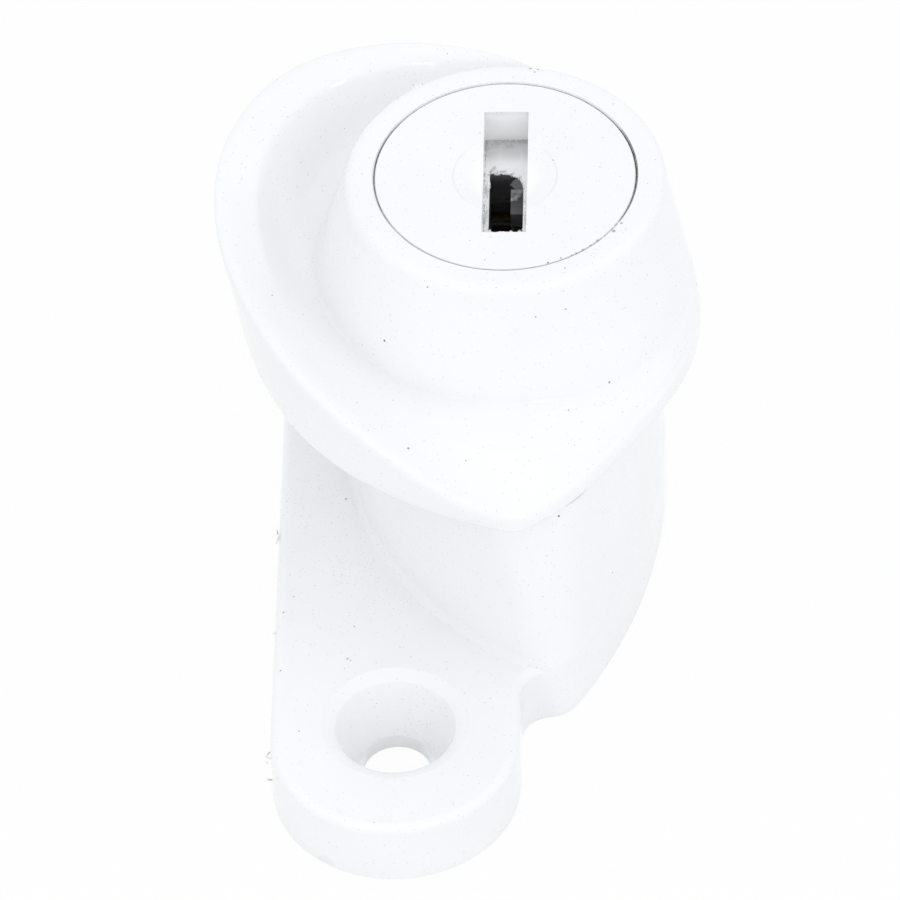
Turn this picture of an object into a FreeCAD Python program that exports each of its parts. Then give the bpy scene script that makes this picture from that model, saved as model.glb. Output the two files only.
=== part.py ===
import FreeCAD, Part
import math
import os

from FreeCAD import Vector

# Keyed lock for a sliding sash window, all sizes in millimetres.
# The base is screwed beside the meeting edge of the sash. A pedestal on the base carries a turning
# knob, whose spiral rim overhangs the straight edge of the base and blocks or clamps the other sash.
# A key plug in the knob drives a bolt that locks the knob at both ends of its half turn.
# The functions work from the turning axis, in the mounting plane. +Z is up, away from the sash. -Y is
# the end with the screw lug that faces the user. +X is the side with the curved edge. What is written
# out is moved so that the origin is midway between the two screw holes.

# Base plate and its two screw lugs
PLATE_THICKNESS = 4.4
LUG_RADIUS = 7.3
SCREW_SPACING = 46.4
LUG_CENTRE_X = -6.65
LUG_SETBACK = 1.0
SCREW_HOLE_RADIUS = 2.0
SCREW_HEAD_RADIUS = 3.95
SCREW_LAND = 1.0
SCREW_RIM_ROUND = 0.4
PLATE_EDGE_ROUND = 0.55
LUG_NECK_ROUND = 1.7

# Pedestal: a pointed oval between two arcs, with drafted walls
PEDESTAL_TOP = 15.2
PEDESTAL_LEFT_REACH = 9.8
PEDESTAL_LEFT_ARC = 21.6
PEDESTAL_RIGHT_REACH = 9.0
PEDESTAL_RIGHT_ARC = 34.0
PEDESTAL_NOSE_ROUND = 2.2
PEDESTAL_NOSE_TOP_ROUND = 5.0
PEDESTAL_DRAFT = 4.5
PEDESTAL_FOOT_ROUND = 0.5
CASTING_WALL = 1.9
CORE_DEPTH = 11.5

# Turning knob
KNOB_GAP = 0.2
KNOB_TOP = 26.4
STEM_RADIUS = 7.0
STEM_END = 0.7
RUNNING_CLEARANCE = 0.06

# Key plug
FACE_RADIUS = 7.66
FACE_GAP = 0.13
FACE_THICKNESS = 2.6
FACE_EDGE = 0.15
BARREL_RADIUS = 5.7
BARREL_FLOOR = 12.6
MOUTH_WIDTH = 2.6
MOUTH_HEIGHT = 9.9
MOUTH_OFFSET = 0.3
MOUTH_DEPTH = 2.4
KEYWAY_WIDTH = 2.0
KEYWAY_HEIGHT = 7.3
KEYWAY_OFFSET = -1.0
KEYWAY_DEPTH = 13.2
DIMPLE_RADIUS = 3.05
DIMPLE_DEPTH = 0.4
TAIL_RADIUS = 2.4
TAIL_SQUARE = 2.6
WEB_THICKNESS = 1.2

# Wafers and their springs
WAFER_COUNT = 5
WAFER_PITCH = (KNOB_TOP - FACE_THICKNESS - BARREL_FLOOR - 1.7) / WAFER_COUNT
WAFER_THICKNESS = WAFER_PITCH * 0.53
WAFER_WIDTH = 6.2
WAFER_CLEARANCE = 0.05
WAFER_GROOVE_DEPTH = 0.75
SPRING_CLEARANCE = 0.1335
SPRING_RADIUS = WAFER_THICKNESS / 2 + WAFER_CLEARANCE - SPRING_CLEARANCE
SPRING_WIRE = SPRING_RADIUS * 11 / 42
SPRING_TURNS = 4
SPRING_STEPS = 8
SPRING_SIDES = 6

# Bolt and the scroll cam that drives it
BOLT_THICKNESS = 1.6
BOLT_WIDTH = 4.0
BOLT_TRAVEL = 1.4
BOLT_PIN_RADIUS = 0.6
BOLT_FLOOR = 3.6
KEY_TURN = 90.0
SCROLL_START = 2.75
CAM_THICKNESS = 1.5
CAM_RADIUS = STEM_RADIUS - 1.9
PLAY = 0.06

# Retaining ring, washers and stop pin
SHOULDER = 3.0
RING_RADIUS = STEM_RADIUS + 0.75
RECESS_RADIUS = RING_RADIUS + 0.2
RING_THICKNESS = 0.8
RING_GROOVE_RADIUS = STEM_RADIUS - 0.6
RING_MOUTH = 60.0
WASHER_THICKNESS = 0.3
WAVE_THICKNESS = 0.2
WAVE_COUNT = 3
STOP_PIN_RADIUS = 0.75
STOP_PIN_ORBIT = STEM_RADIUS + 2.1
STOP_PIN_HEIGHT = 1.2
STOP_PIN_DEPTH = 4.0
KNOB_TURN = 180.0

KNOB_FLOOR = PEDESTAL_TOP + KNOB_GAP
HOLE_Y = SCREW_SPACING / 2
LUG_CENTRE_Y = HOLE_Y + LUG_SETBACK
PLATE_EDGE_X = LUG_CENTRE_X - LUG_RADIUS
UP = Vector(0, 0, 1)


def disc(radius, low, high, x=0.0, y=0.0):
    return Part.makeCylinder(radius, high - low, Vector(x, y, low), UP)


def ring(outer, inner, low, high):
    return disc(outer, low, high).cut(disc(inner, low - 1, high + 1))


def block(x0, x1, y0, y1, z0, z1):
    return Part.makeBox(x1 - x0, y1 - y0, z1 - z0, Vector(x0, y0, z0))


def on_circle(centre_x, radius, angle, z=0.0):
    turn = math.radians(angle)
    return Vector(centre_x + radius * math.cos(turn), radius * math.sin(turn), z)


def sector(radius, start, end, z0, z1):
    """A wedge of a round disc, from the start angle to the end angle."""
    corner = Vector(0, 0, z0)
    first = on_circle(0, radius, start, z0)
    middle = on_circle(0, radius, (start + end) / 2, z0)
    last = on_circle(0, radius, end, z0)
    edges = [Part.makeLine(corner, first), Part.Arc(first, middle, last).toShape(), Part.makeLine(last, corner)]
    return Part.Face(Part.Wire(edges)).extrude(Vector(0, 0, z1 - z0))


def named(shape, name):
    """Writes one sub-part, after a check that it is one or more closed solids."""
    shape = shape.removeSplitter()
    if not shape.isValid() or not shape.Solids or shape.ShapeType not in ("Solid", "Compound"):
        raise ValueError(name + " is not a valid solid")
    shape.translate(Vector(-LUG_CENTRE_X, 0, 0))
    shape.exportStep("parts/" + name + ".step")


# Base casting

def nose(inset, height):
    """X, Y and radius of the round nose that joins the two arcs of the pedestal, moved in by the inset.

    The nose is sharper at the plate than under the knob.
    """
    left_centre, right_centre = arc_centres()
    growth = (PEDESTAL_NOSE_TOP_ROUND - PEDESTAL_NOSE_ROUND) / (PEDESTAL_TOP - PLATE_THICKNESS)
    radius = max(PEDESTAL_NOSE_ROUND + growth * above_plate(height) - inset, 0.4)
    to_left = PEDESTAL_LEFT_ARC - inset - radius
    to_right = PEDESTAL_RIGHT_ARC - inset - radius
    apart = left_centre - right_centre
    along = (apart ** 2 + to_right ** 2 - to_left ** 2) / (2 * apart)
    return right_centre + along, math.sqrt(to_right ** 2 - along ** 2), radius


def arc_centres():
    """The X of the centres of the pedestal's left and right arcs."""
    return PEDESTAL_LEFT_ARC - PEDESTAL_LEFT_REACH, PEDESTAL_RIGHT_REACH - PEDESTAL_RIGHT_ARC


def pedestal_outline(z, inset):
    """The pointed oval between the left and the right arc, moved in by the inset, with rounded noses."""
    left_radius = PEDESTAL_LEFT_ARC - inset
    right_radius = PEDESTAL_RIGHT_ARC - inset
    left_centre, right_centre = arc_centres()
    nose_x, nose_y, nose_round = nose(inset, z)
    left_turn = math.degrees(math.atan2(nose_y, nose_x - left_centre))
    right_turn = math.degrees(math.atan2(nose_y, nose_x - right_centre))

    def at_nose(side):
        middle = (left_turn + right_turn) / 2
        return on_circle(nose_x, nose_round, middle * side, z) + Vector(0, nose_y * side, 0)

    left_back = on_circle(left_centre, left_radius, left_turn, z)
    left_front = on_circle(left_centre, left_radius, -left_turn, z)
    right_back = on_circle(right_centre, right_radius, right_turn, z)
    right_front = on_circle(right_centre, right_radius, -right_turn, z)
    edges = [
        Part.Arc(left_back, on_circle(left_centre, left_radius, 180, z), left_front).toShape(),
        Part.Arc(left_front, at_nose(-1), right_front).toShape(),
        Part.Arc(right_front, on_circle(right_centre, right_radius, 0, z), right_back).toShape(),
        Part.Arc(right_back, at_nose(1), left_back).toShape(),
    ]
    return Part.Wire(edges)


def above_plate(height):
    return max(height - PLATE_THICKNESS, 0)


def pedestal(inset, low, high):
    """The pedestal between two heights. Its walls are upright beside the plate and lean in above it."""
    slope = math.tan(math.radians(PEDESTAL_DRAFT))
    wires = []
    for height in (low, PLATE_THICKNESS, high):
        wires.append(pedestal_outline(height, inset + slope * above_plate(height)))
    return Part.makeLoft(wires, True, True)


def neck_hollow():
    """The hollow round between a lug's side and the pedestal's nose, and the point where it meets the nose."""
    nose_x, nose_y, nose_round = nose(0, 0)
    centre_x = LUG_CENTRE_X + LUG_RADIUS + LUG_NECK_ROUND
    apart = nose_round + LUG_NECK_ROUND
    rise = math.sqrt(apart ** 2 - (centre_x - nose_x) ** 2)
    share = nose_round / apart
    meeting = Vector(nose_x + (centre_x - nose_x) * share, nose_y + rise * share, 0)
    return Vector(centre_x, nose_y + rise, 0), meeting


def neck_web(side):
    """The fill between a lug and the nose of the pedestal, with a hollow round edge."""
    centre, meeting = neck_hollow()
    low_y, high_y = sorted((side * centre.y, side * (meeting.y - LUG_NECK_ROUND)))
    fill = block(LUG_CENTRE_X + LUG_RADIUS - 1, meeting.x, low_y, high_y, 0, PLATE_THICKNESS)
    return fill.cut(disc(LUG_NECK_ROUND, -1, PLATE_THICKNESS + 1, centre.x, side * centre.y))


def plate():
    """The flat strip along the straight edge, with a round lug and a neck at each end."""
    right = LUG_CENTRE_X + LUG_RADIUS
    strip = block(PLATE_EDGE_X, right, -LUG_CENTRE_Y, LUG_CENTRE_Y, 0, PLATE_THICKNESS)
    pieces = []
    for side in (-1, 1):
        pieces.append(disc(LUG_RADIUS, 0, PLATE_THICKNESS, LUG_CENTRE_X, side * LUG_CENTRE_Y))
        pieces.append(neck_web(side))
    body = strip.fuse(pieces).removeSplitter()
    neck_y = neck_hollow()[1].y

    def is_rim(edge):
        box = edge.BoundBox
        level = box.ZLength < 0.01 and abs(box.ZMin - PLATE_THICKNESS) < 0.01
        straight = box.XLength < 0.01 and box.XMin > PLATE_EDGE_X + 1
        under_pedestal = straight and abs(edge.CenterOfMass.y) < neck_y
        return level and not under_pedestal

    return body.makeFillet(PLATE_EDGE_ROUND, edges_near(body, is_rim))


def edges_near(shape, wanted):
    return [edge for edge in shape.Edges if wanted(edge)]


def screw_hole(y):
    """The hole of a screw lug: a deep cone for the head over a short round land, with a soft rim."""
    top = PLATE_THICKNESS
    rim = SCREW_RIM_ROUND
    low = Vector(0, 0, -1)
    points = [
        low,
        Vector(SCREW_HOLE_RADIUS, 0, -1),
        Vector(SCREW_HOLE_RADIUS, 0, SCREW_LAND),
        Vector(SCREW_HEAD_RADIUS - rim, 0, top - rim),
        Vector(SCREW_HEAD_RADIUS + rim, 0, top),
        Vector(SCREW_HEAD_RADIUS + rim, 0, top + 1),
        Vector(0, 0, top + 1),
    ]
    arc = Part.Arc(points[3], Vector(SCREW_HEAD_RADIUS + rim * 0.15, 0, top - rim * 0.25), points[4]).toShape()
    edges = [
        Part.makeLine(points[0], points[1]),
        Part.makeLine(points[1], points[2]),
        Part.makeLine(points[2], points[3]),
        arc,
        Part.makeLine(points[4], points[5]),
        Part.makeLine(points[5], points[6]),
        Part.makeLine(points[6], points[0]),
    ]
    tool = Part.Face(Part.Wire(edges)).revolve(Vector(0, 0, 0), UP, 360)
    tool.translate(Vector(LUG_CENTRE_X, y, 0))
    return tool


def pedestal_foot(slab):
    """The hollow round where the pedestal's wall meets the plate, over the plate's flat top only."""
    reach = SCREW_SPACING
    ground = block(-reach, reach, -reach, reach, 0, PLATE_THICKNESS)
    body = ground.fuse(pedestal(0, 0, PEDESTAL_TOP))

    def is_foot(edge):
        box = edge.BoundBox
        level = box.ZLength < 0.01 and abs(box.ZMin - PLATE_THICKNESS) < 0.01
        return level and box.XMin > -reach + 1 and box.XMax < reach - 1

    body = body.makeFillet(PEDESTAL_FOOT_ROUND, edges_near(body, is_foot))
    tops = [face for face in slab.Faces if face.BoundBox.ZMin > PLATE_THICKNESS - 0.01]
    above = tops[0].extrude(Vector(0, 0, PEDESTAL_FOOT_ROUND * 1.2))
    return body.common(above)


def base_body():
    """Plate and pedestal as one block, with the soft foot between them."""
    slab = plate()
    foot = pedestal_foot(slab)
    return slab.fuse([pedestal(0, 0, PEDESTAL_TOP), foot]).removeSplitter()


def base_casting():
    body = base_body()
    for side in (-1, 1):
        body = body.cut(screw_hole(side * HOLE_Y))
    bore = STEM_RADIUS + RUNNING_CLEARANCE
    body = body.cut(disc(bore, -1, PEDESTAL_TOP + 1))
    body = body.cut(disc(RECESS_RADIUS, -1, SHOULDER))
    notch_reach = STEM_RADIUS + BOLT_TRAVEL + 0.4
    notch_half = BOLT_WIDTH / 2 + PLAY
    notch_roof = BOLT_FLOOR + BOLT_THICKNESS + 0.12
    notches = block(-notch_half, notch_half, -notch_reach, notch_reach, SHOULDER - 0.5, notch_roof)
    body = body.cut(notches)
    boss = disc(notch_reach + CASTING_WALL, -2, CORE_DEPTH + 2)
    core = pedestal(CASTING_WALL, 0, CORE_DEPTH).cut(boss)
    body = body.cut(core)
    pin_hole = disc(STOP_PIN_RADIUS, PEDESTAL_TOP - STOP_PIN_DEPTH, PEDESTAL_TOP + 1, 0, STOP_PIN_ORBIT)
    return body.cut(pin_hole)


def stop_pin():
    """The dowel in the top of the pedestal that ends the knob's half turn."""
    top = PEDESTAL_TOP + STOP_PIN_HEIGHT
    pin = disc(STOP_PIN_RADIUS, PEDESTAL_TOP - STOP_PIN_DEPTH, top, 0, STOP_PIN_ORBIT)
    rim = edges_near(pin, lambda edge: edge.BoundBox.ZMin > top - 0.01)
    return pin.makeChamfer(0.15, rim)


# Knob casting

# Sections of the knob, each at an angle from +X, counterclockwise, in degrees. They start at the
# pointed tip and go once round to it again. The rim is the outer top edge and the shelf the inner edge
# of its flat top. The floor is where the rim's inner wall ends below, the foot where the hub's cone
# ends, and low is the radius at the underside.
# Radii are in percent of the hub ring's, heights in percent of the knob's, from its underside up.
# Columns: angle, then radius and height of the rim, the shelf, the floor and the foot, then low
KNOB_SECTIONS = [
    (-88.0, 195.8, 13.6, 154.7, 27.0, 136.8, 29.6, 120.0, 34.5, 195.8),
    (-79.0, 180.0, 13.6, 148.4, 24.2, 134.7, 27.2, 120.0, 32.7, 180.0),
    (-63.0, 150.5, 13.6, 136.8, 20.9, 129.5, 24.5, 120.0, 29.1, 150.5),
    (-45.0, 134.7, 13.6, 129.5, 19.1, 125.3, 22.7, 118.9, 28.2, 134.7),
    (-24.0, 125.3, 13.6, 122.1, 19.1, 120.0, 24.5, 116.8, 30.9, 125.3),
    (0.0, 118.9, 14.5, 116.8, 21.8, 115.8, 27.3, 113.7, 34.5, 117.9),
    (20.0, 110.8, 20.0, 110.0, 27.3, 110.5, 33.6, 109.5, 40.0, 109.8),
    (45.0, 107.4, 32.7, 106.8, 39.1, 106.3, 45.5, 105.3, 52.7, 108.4),
    (68.0, 105.3, 72.7, 104.7, 76.4, 104.2, 80.0, 103.2, 84.5, 109.5),
    (82.0, 107.4, 91.8, 105.3, 91.8, 103.2, 90.9, 101.6, 90.0, 113.7),
    (94.0, 118.9, 91.8, 111.6, 90.9, 107.4, 88.2, 103.2, 86.4, 121.1),
    (107.0, 138.9, 88.2, 125.3, 85.5, 115.8, 78.2, 104.2, 74.5, 134.7),
    (122.0, 165.3, 82.7, 143.2, 78.2, 129.5, 60.0, 108.4, 54.5, 151.6),
    (140.0, 188.4, 77.3, 162.1, 72.7, 143.2, 47.3, 113.7, 42.7, 164.2),
    (160.0, 191.6, 70.0, 163.2, 65.5, 144.2, 40.9, 117.9, 38.2, 166.3),
    (180.0, 182.1, 63.6, 154.7, 58.2, 136.8, 39.1, 118.9, 35.5, 167.9),
    (200.0, 173.7, 59.1, 148.4, 50.9, 130.5, 40.0, 118.9, 34.5, 167.4),
    (218.0, 173.7, 53.6, 146.3, 45.5, 130.5, 39.1, 120.0, 34.5, 171.0),
    (236.0, 177.9, 44.5, 149.5, 40.0, 132.6, 36.8, 121.1, 34.5, 176.8),
    (250.0, 183.2, 31.8, 151.6, 33.6, 135.8, 35.0, 121.1, 34.5, 182.1),
    (262.0, 189.5, 18.2, 153.7, 28.8, 136.8, 31.4, 121.1, 34.5, 188.4),
    (272.0, 195.8, 13.6, 154.7, 27.0, 136.8, 29.6, 120.0, 34.5, 195.8),
]
TIP_ANGLE = KNOB_SECTIONS[0][0]
RING_ROUND = 0.9
RING_OUTER_RADIUS = 9.5
FOOT_CRISP_FROM = 226.0
FOOT_CRISP_TO = 288.0
FOOT_FADE = 26.0
TIP_STEPS = (0.0, 2.2, 5.0, 9.0, 14.0, 20.0)
SECTION_STEPS = 40


def between_sections(angle):
    """Radii and heights of a section at an angle, along smooth curves through the listed sections."""
    rows = KNOB_SECTIONS
    index = 0
    while index < len(rows) - 2 and angle > rows[index + 1][0]:
        index += 1
    low, high = rows[index], rows[index + 1]
    span = high[0] - low[0]
    share = (angle - low[0]) / span
    values = []
    for column in range(1, len(low)):
        slopes = []
        for k in (index, index + 1):
            before, after = rows[max(k - 1, 0)], rows[min(k + 1, len(rows) - 1)]
            slopes.append((after[column] - before[column]) / (after[0] - before[0]) * span)
        a, b = low[column], high[column]
        s2, s3 = share ** 2, share ** 3
        value = (2 * s3 - 3 * s2 + 1) * a + (s3 - 2 * s2 + share) * slopes[0]
        value += (3 * s2 - 2 * s3) * b + (s3 - s2) * slopes[1]
        values.append(value / 100)
    radii = [RING_OUTER_RADIUS * value for value in values[0::2]]
    heights = [KNOB_FLOOR + (KNOB_TOP - KNOB_FLOOR) * value for value in values[1::2]]
    return radii, heights


def foot_softness(angle):
    """How wide the hollow at the cone's foot is: 0 along the crisp line at the front, 1 elsewhere."""
    turned = angle % 360
    away = max(FOOT_CRISP_FROM - turned, turned - FOOT_CRISP_TO, 0.0)
    share = min(away / FOOT_FADE, 1.0)
    return share ** 2 * (3 - 2 * share)


def knob_profile(angle):
    """The control points of one section, from the flat ring on top, out and down to the underside."""
    (rim_r, shelf_r, floor_r, foot_r, low_r), (rim_z, shelf_z, floor_z, foot_z) = between_sections(angle)
    top, under = KNOB_TOP, KNOB_FLOOR
    ring_r = RING_OUTER_RADIUS
    cone_z = top - RING_ROUND
    foot_z = min(foot_z, cone_z)
    soft = foot_softness(angle)

    def from_ring(share):
        return ring_r + (foot_r - ring_r) * share, cone_z + (foot_z - cone_z) * share

    def from_foot(share):
        return foot_r + (floor_r - foot_r) * share, foot_z + (floor_z - foot_z) * share

    def from_floor(out, up):
        return floor_r + (shelf_r - floor_r) * out, floor_z + (shelf_z - floor_z) * up

    return [
        (ring_r - RING_ROUND, top),
        (ring_r - RING_ROUND * 0.4, top),
        (ring_r - RING_ROUND * 0.05, top - RING_ROUND * 0.35),
        from_ring(0.0),
        from_ring(0.5),
        from_ring(0.97 - 0.17 * soft),
        (foot_r, foot_z),
        from_foot(0.1 + 0.3 * soft),
        from_foot(0.8),
        from_floor(0.3, 0.3),
        from_floor(0.88, 0.9),
        (shelf_r, shelf_z),
        (shelf_r + (rim_r - shelf_r) * 0.2, shelf_z + (rim_z - shelf_z) * 0.3),
        (rim_r - min(0.8, (rim_r - shelf_r) * 0.5), rim_z),
        (rim_r - 0.05, rim_z - 0.05),
        (rim_r + (low_r - rim_r) * 0.12, rim_z - 0.8),
        (rim_r + (low_r - rim_r) * 0.7, rim_z + (under - rim_z) * 0.7),
        (low_r, under + 0.15),
        (low_r - 0.5, under),
    ]


def section_angles():
    """Angles once round, closer together on both sides of the pointed tip."""
    after = [TIP_ANGLE + step for step in TIP_STEPS]
    before = [TIP_ANGLE + 360 - step for step in reversed(TIP_STEPS[1:])]
    first, last = after[-1], before[0]
    count = SECTION_STEPS
    middle = [first + (last - first) * k / count for k in range(1, count)]
    return after + middle + before


def knob_skin():
    """One smooth surface round the knob, closed by a flat top and a flat underside."""
    rows = []
    for angle in section_angles():
        row = []
        for radius, z in knob_profile(angle):
            row.append(on_circle(0, radius, angle, z))
        rows.append(row)
    across = len(rows[0])
    degree = 3
    knots_round = [float(k) for k in range(len(rows) + 1)]
    mults_round = [1] * len(knots_round)
    knots_across = [float(k) for k in range(across - degree + 1)]
    mults_across = [degree + 1] + [1] * (len(knots_across) - 2) + [degree + 1]
    surface = Part.BSplineSurface()
    surface.buildFromPolesMultsKnots(
        rows, mults_round, mults_across, knots_round, knots_across, True, False, degree, degree
    )
    side = surface.toShape()
    level = lambda edge, z: edge.BoundBox.ZLength < 1e-4 and abs(edge.BoundBox.ZMin - z) < 1e-3
    top_edges = [edge for edge in side.Edges if level(edge, KNOB_TOP)]
    low_edges = [edge for edge in side.Edges if level(edge, KNOB_FLOOR)]
    top = Part.Face(Part.Wire(top_edges))
    low = Part.Face(Part.Wire(low_edges))
    shell = Part.makeShell([side.Faces[0], top, low])
    shell.sewShape()
    solid = Part.makeSolid(shell)
    if solid.Volume < 0:
        solid.reverse()
    return solid


def barrel_top():
    return KNOB_TOP - FACE_THICKNESS


def wafer_floor(index):
    """The lowest face of a wafer, counted from the barrel's end."""
    stack = (WAFER_COUNT - 1) * WAFER_PITCH + WAFER_THICKNESS
    first = BARREL_FLOOR + (barrel_top() - BARREL_FLOOR - stack) / 2
    return first + index * WAFER_PITCH


def wafer_grooves(low, high):
    """The four grooves in the knob's bore that the wafers' ends lock into."""
    half = WAFER_WIDTH / 2 + 0.15
    reach = BARREL_RADIUS + WAFER_GROOVE_DEPTH
    across = block(-half, half, -reach, reach, low, high)
    along = block(-reach, reach, -half, half, low, high)
    return across.fuse(along)


def knob_casting():
    body = knob_skin()
    stem = disc(STEM_RADIUS, STEM_END, KNOB_FLOOR + 1)
    body = body.fuse(stem)
    body = body.cut(disc(FACE_RADIUS + FACE_GAP, barrel_top() - 0.08, KNOB_TOP + 1))
    bore = BARREL_RADIUS + PLAY
    body = body.cut(disc(bore, BARREL_FLOOR - PLAY, KNOB_TOP + 1))
    first = wafer_floor(0) - 0.4
    last = wafer_floor(WAFER_COUNT - 1) + WAFER_THICKNESS + 0.4
    body = body.cut(wafer_grooves(first, last))
    web_low = BARREL_FLOOR - PLAY - WEB_THICKNESS
    body = body.cut(disc(TAIL_RADIUS + PLAY, web_low - 1, BARREL_FLOOR + 1))
    body = body.cut(disc(CAM_RADIUS + 0.15, STEM_END - 1, web_low))
    slot_half = BOLT_WIDTH / 2 + PLAY
    slot_roof = BOLT_FLOOR + BOLT_THICKNESS + PLAY
    slot = block(-slot_half, slot_half, -STEM_RADIUS - 1, STEM_RADIUS + 1, STEM_END - 1, slot_roof)
    body = body.cut(slot)
    groove = ring(STEM_RADIUS + 1, RING_GROOVE_RADIUS, ring_floor() - PLAY, ring_floor() + RING_THICKNESS + PLAY)
    body = body.cut(groove)
    return body.cut(stop_groove())


def stop_groove():
    """The arc in the knob's underside that runs past the stop pin over the half turn."""
    half_width = STOP_PIN_RADIUS + 0.1
    low, high = KNOB_FLOOR - 0.5, PEDESTAL_TOP + STOP_PIN_HEIGHT + 0.15
    band = ring(STOP_PIN_ORBIT + half_width, STOP_PIN_ORBIT - half_width, low, high)
    arc = sector(STOP_PIN_ORBIT * 2, 90 - KNOB_TURN, 90, low - 1, high + 1)
    track = band.common(arc)
    ends = []
    for angle in (90 - KNOB_TURN, 90):
        point = on_circle(0, STOP_PIN_ORBIT, angle)
        ends.append(disc(half_width, low, high, point.x, point.y))
    return track.fuse(ends)


# Retaining ring and washers

def ring_floor():
    return SHOULDER - WASHER_THICKNESS - wave_height() - RING_THICKNESS - 0.05


def wave_height():
    return WAVE_THICKNESS * 2.2


def retaining_ring():
    """A spring steel ring, open at one side, that sits in the groove of the stem."""
    low = ring_floor()
    body = ring(RING_RADIUS, RING_GROOVE_RADIUS + 0.03, low, low + RING_THICKNESS)
    mouth = sector(RING_RADIUS + 1, 225 - RING_MOUTH / 2, 225 + RING_MOUTH / 2, low - 1, low + RING_THICKNESS + 1)
    return body.cut(mouth)


def flat_washer():
    low = ring_floor() + RING_THICKNESS
    return ring(RING_RADIUS, STEM_RADIUS + RUNNING_CLEARANCE, low, low + WASHER_THICKNESS)


def wave_washer():
    """A thin ring with shallow waves, which keeps the knob from rattling."""
    low = ring_floor() + RING_THICKNESS + WASHER_THICKNESS
    inner, outer = STEM_RADIUS + RUNNING_CLEARANCE + 0.05, RING_RADIUS - 0.05
    swing = (wave_height() - WAVE_THICKNESS) / 2
    steps = WAVE_COUNT * 8
    rows = []
    for radius in (inner, outer):
        row = []
        for k in range(steps):
            angle = 360.0 * k / steps
            z = low + swing + swing * math.cos(math.radians(angle * WAVE_COUNT))
            row.append(on_circle(0, radius, angle, z))
        curve = Part.BSplineCurve()
        curve.buildFromPolesMultsKnots(row, [1] * (steps + 1), [float(k) for k in range(steps + 1)], True, 3)
        rows.append(Part.Wire(curve.toShape()))
    sheet = Part.makeRuledSurface(rows[0], rows[1])
    return sheet.extrude(Vector(0, 0, WAVE_THICKNESS)).Solids[0]


# Key plug and wafers

def wafer_slot(index):
    """The slot through the barrel for one wafer, with a closed pocket at one side for its spring."""
    low = wafer_floor(index) - WAFER_CLEARANCE
    high = wafer_floor(index) + WAFER_THICKNESS + WAFER_CLEARANCE
    half = WAFER_WIDTH / 2 + WAFER_CLEARANCE
    reach = BARREL_RADIUS + 1
    step = spring_shelf()
    through = block(-half, step + WAFER_CLEARANCE, -reach, reach, low, high)
    pocket = block(0, half, -reach, spring_top(), low, high)
    return through.fuse(pocket)


def spring_shelf():
    """The X of the wafer's side that the spring stands beside."""
    return WAFER_WIDTH / 2 - 2 * SPRING_RADIUS - 0.25


def spring_top():
    return 3.4


def spring_foot():
    return 0.9


def wafer(index):
    """A flat tumbler: a window for the key, a nib that reads it, and a shelf under its spring."""
    low, high = wafer_floor(index), wafer_floor(index) + WAFER_THICKNESS
    half = WAFER_WIDTH / 2
    reach = BARREL_RADIUS + 1
    body = disc(BARREL_RADIUS - 0.03, low, high)
    body = body.common(block(-half, half, -reach, reach, low, high))
    corner = block(spring_shelf(), half + 1, spring_foot(), reach, low - 1, high + 1)
    body = body.cut(corner)
    window_half = KEYWAY_WIDTH / 2 + 0.05
    shift = 0.25 * ((index * 2) % 5 - 2) / 2
    window_low = KEYWAY_OFFSET - KEYWAY_HEIGHT / 2 - 0.1
    window_high = KEYWAY_OFFSET + KEYWAY_HEIGHT / 2 + 0.3
    window = block(-window_half, window_half, window_low, window_high, low - 1, high + 1)
    nib = block(0.2, window_half + 0.1, 0.5 + shift, window_high + 0.1, low, high)
    return body.cut(window.cut(nib))


def wafer_spring(index):
    """A small coil between the wafer's shelf and the closed end of its pocket, in straight short steps."""
    middle = wafer_floor(index) + WAFER_THICKNESS / 2
    foot, top = spring_foot() + 0.02 + SPRING_WIRE, spring_top() - 0.02 - SPRING_WIRE
    centre = Vector(spring_shelf() + SPRING_RADIUS + 0.15, foot, middle)
    mean = SPRING_RADIUS - SPRING_WIRE
    steps = SPRING_TURNS * SPRING_STEPS
    rings = []
    for k in range(steps + 1):
        turn = math.tau * k / SPRING_STEPS
        outward = Vector(math.cos(turn), 0, math.sin(turn))
        on_axis = centre + Vector(0, (top - foot) * k / steps, 0)
        corners = []
        for side in range(SPRING_SIDES):
            lean_angle = math.tau * side / SPRING_SIDES
            out = outward * (mean + SPRING_WIRE * math.cos(lean_angle))
            corners.append(on_axis + out + Vector(0, SPRING_WIRE * math.sin(lean_angle), 0))
        rings.append(Part.makePolygon(corners + corners[:1]))
    return Part.makeLoft(rings, True, True)


def key_slot(width, height, offset, depth):
    """A straight slot down from the plug's face."""
    low, high = offset - height / 2, offset + height / 2
    return block(-width / 2, width / 2, low, high, KNOB_TOP - depth, KNOB_TOP + 1)


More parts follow.
